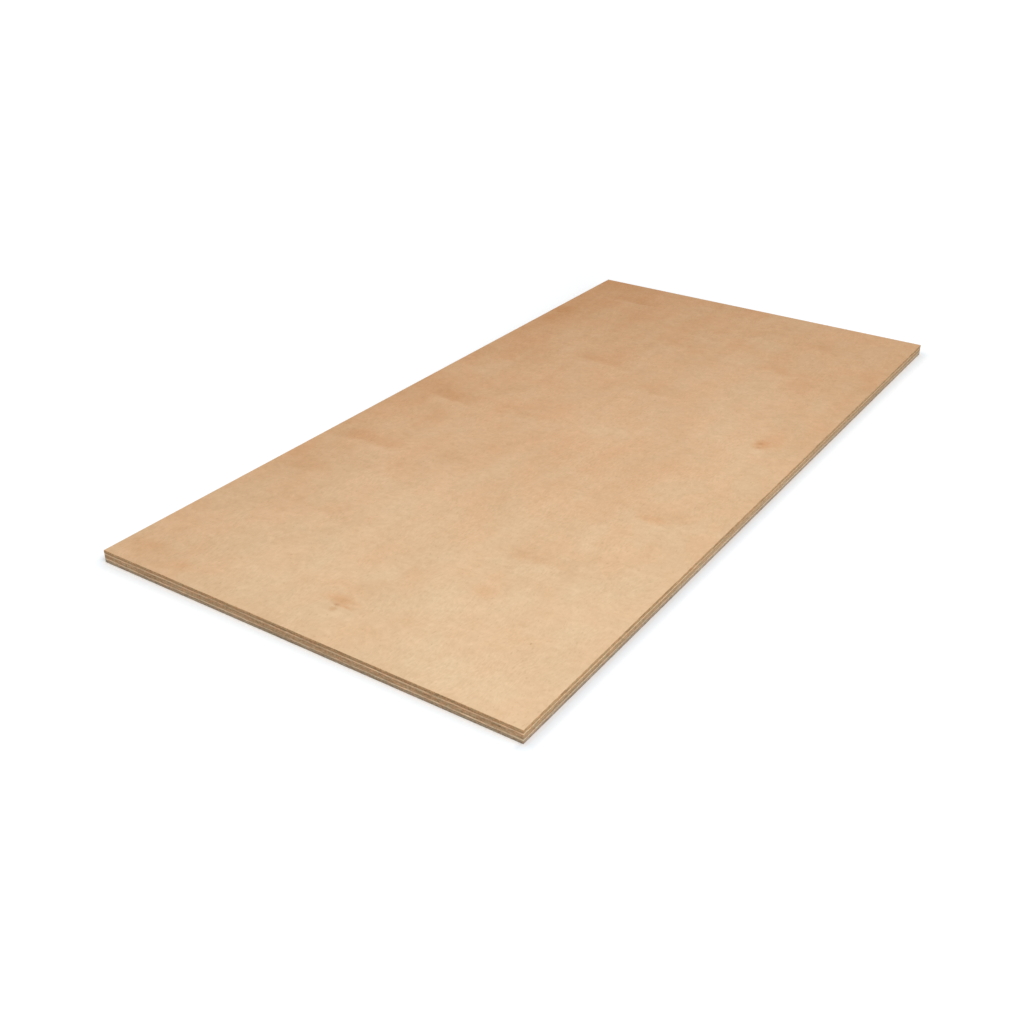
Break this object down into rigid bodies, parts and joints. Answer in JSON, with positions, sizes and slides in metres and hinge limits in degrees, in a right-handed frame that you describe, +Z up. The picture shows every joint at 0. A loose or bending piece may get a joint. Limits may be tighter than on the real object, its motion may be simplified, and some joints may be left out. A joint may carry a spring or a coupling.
{
  "type": "plywood sheet",
  "caption": "Flat rectangular sheet of sanded hardwood plywood with square sawn edges that show alternating dark and pale plies.",
  "frame": {"origin": "centre of the underside, on the surface that the sheet lies on", "axes": "+X across the sheet, +Y along its length and the face grain, +Z up through the thickness, out of the good face"},
  "size_m": [0.607, 1.22, 0.0171],
  "materials": {
    "outer_veneer": "matte",
    "crossband_veneer": "matte",
    "core_veneer": "matte"
  },
  "bodies": {
    "root": {"back_ply": "outer_veneer", "lower_crossband": "crossband_veneer", "core_ply": "core_veneer", "upper_crossband": "crossband_veneer", "face_ply": "outer_veneer"}
  },
  "joints": []
}
